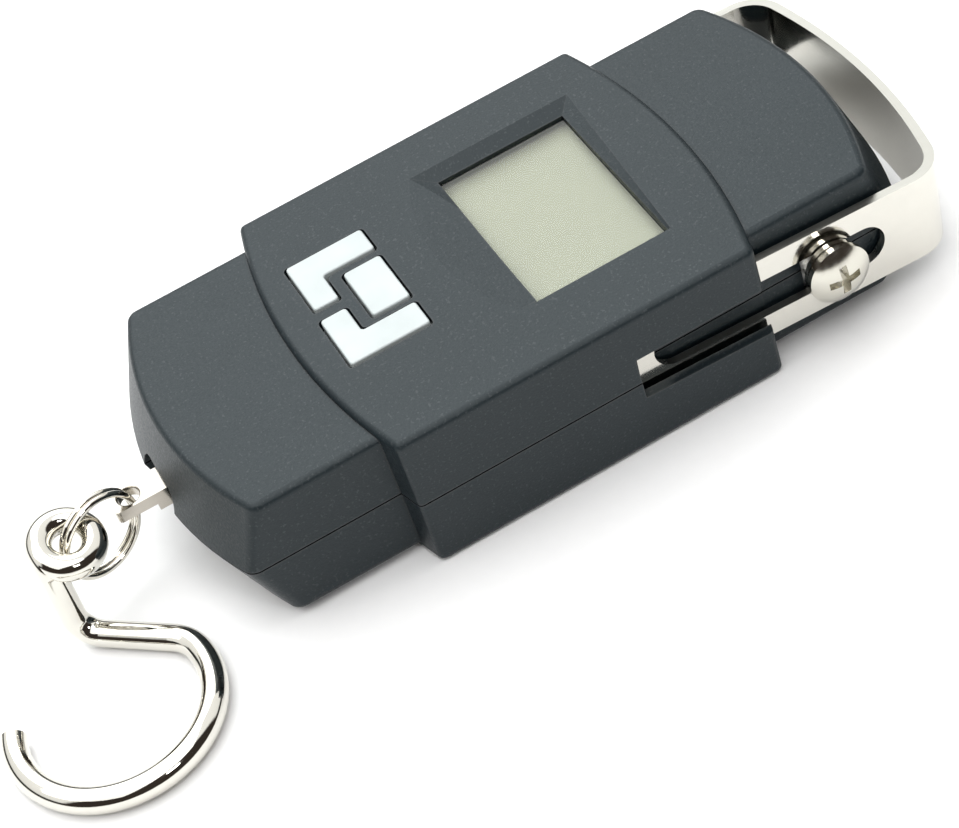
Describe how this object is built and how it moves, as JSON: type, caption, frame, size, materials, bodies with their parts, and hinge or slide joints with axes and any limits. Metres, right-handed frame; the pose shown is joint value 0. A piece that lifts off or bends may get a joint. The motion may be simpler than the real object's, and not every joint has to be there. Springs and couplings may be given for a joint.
{
  "type": "digital fish scale",
  "caption": "Hand-held hanging scale: flat case with a display and push buttons, a slide-out strap handle at one end and a ring-linked hook at the other.",
  "frame": {"origin": "centre of the flat back face, halfway across the case and halfway along its centre band", "axes": "+Z out of the display face, +Y along the case towards the handle, +X to the right of a reader who holds the handle end up"},
  "size_m": [0.0752, 0.1684, 0.0269],
  "materials": {
    "case_plastic": "dark charcoal, fine spark texture",
    "key_plastic": "pale satin silver",
    "clear_window": "clear, polished",
    "display_panel": "pale green-grey reflective display",
    "black_plastic": "moulded black",
    "contact_rubber": "layered conductive rubber",
    "board_laminate": "green solder mask",
    "switch_plastic": "moulded grey",
    "bar_aluminium": "machined",
    "gauge_film": "amber film",
    "plated_steel": "bright zinc or nickel plate",
    "polished_nickel": "polished plate",
    "cell_jacket": "plain blue jacket"
  },
  "bodies": {
    "housing": {"front_shell": "case_plastic", "rear_shell": "case_plastic", "case_screws": "plated_steel", "display_window": "clear_window", "display_frame": "black_plastic", "display_glass": "display_panel", "zebra_strips": "contact_rubber", "circuit_board": "board_laminate", "board_screws": "plated_steel", "chip": "black_plastic", "key_switches": "switch_plastic", "cross_bar": "bar_aluminium", "cross_bar_bolts": "plated_steel", "load_cell": "bar_aluminium", "strain_gauges": "gauge_film", "gauge_ribbon": "gauge_film", "bracket_bolts": "plated_steel", "hook_bracket": "polished_nickel", "contact_plates": "plated_steel", "handle_bushes": "polished_nickel", "handle_screws": "polished_nickel", "battery_1": "cell_jacket", "battery_2": "cell_jacket", "battery_spring_1": "plated_steel", "battery_spring_2": "plated_steel"},
    "handle": {"handle": "polished_nickel"},
    "battery_door": {"battery_door": "case_plastic"},
    "button_left": {"button_left": "key_plastic"},
    "button_middle": {"button_middle": "key_plastic"},
    "button_right": {"button_right": "key_plastic"},
    "link_ring": {"link_ring": "polished_nickel"},
    "hook": {"hook": "polished_nickel"}
  },
  "joints": [
    {"name": "handle_slide", "type": "slide", "parent": "housing", "child": "handle", "axis": [0, 0.9988, -0.0488], "range_m": [0, 0.027]},
    {"name": "door_slide", "type": "slide", "parent": "housing", "child": "battery_door", "axis": [0, -1, 0], "range_m": [0, 0.014]},
    {"name": "press_left", "type": "slide", "parent": "housing", "child": "button_left", "axis": [0, 0, -1], "range_m": [0, 0.0005], "stiffness_N_per_m": 1500, "springref_m": -0.0003},
    {"name": "press_middle", "type": "slide", "parent": "housing", "child": "button_middle", "axis": [0, 0, -1], "range_m": [0, 0.0005], "stiffness_N_per_m": 1500, "springref_m": -0.0003},
    {"name": "press_right", "type": "slide", "parent": "housing", "child": "button_right", "axis": [0, 0, -1], "range_m": [0, 0.0005], "stiffness_N_per_m": 1500, "springref_m": -0.0003},
    {"name": "ring_swing", "type": "hinge", "parent": "housing", "child": "link_ring", "pos_m": [0, -0.066, 0.014], "axis": [0, 0, 1], "range_deg": [-45, 12]},
    {"name": "hook_swing", "type": "hinge", "parent": "link_ring", "child": "hook", "pos_m": [0.00449, -0.0775, 0.01674], "axis": [0.2824, 0.2206, 0.9336], "range_deg": [-110, 5]}
  ]
}
